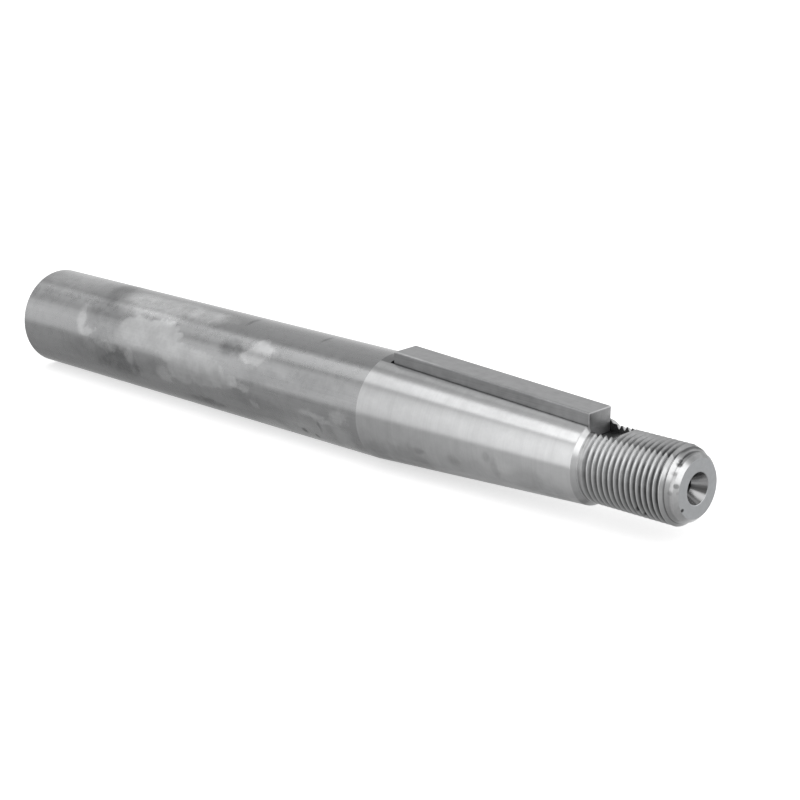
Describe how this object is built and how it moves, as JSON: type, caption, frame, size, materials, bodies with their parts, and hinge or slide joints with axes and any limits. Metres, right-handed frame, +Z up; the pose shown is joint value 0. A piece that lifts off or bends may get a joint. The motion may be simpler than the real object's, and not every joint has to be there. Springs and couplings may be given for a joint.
{
  "type": "straight shaft",
  "caption": "Straight steel shaft with a plain bar, a keyed taper, a threaded end and a centre hole in its nose, with its parallel key in place.",
  "frame": {"origin": "on the shaft's axis, in the plane of the taper's large end", "axes": "+X along the axis towards the threaded nose, +Z up through the middle of the key"},
  "size_m": [0.3, 0.035, 0.0377],
  "materials": {
    "turned_steel": "drawn bar, dull and cloudy, with a brighter turned taper, thread and nose",
    "key_steel": "matte grey key steel with bevelled edges"
  },
  "bodies": {
    "root": {"shaft": "turned_steel", "key": "key_steel"}
  },
  "joints": []
}
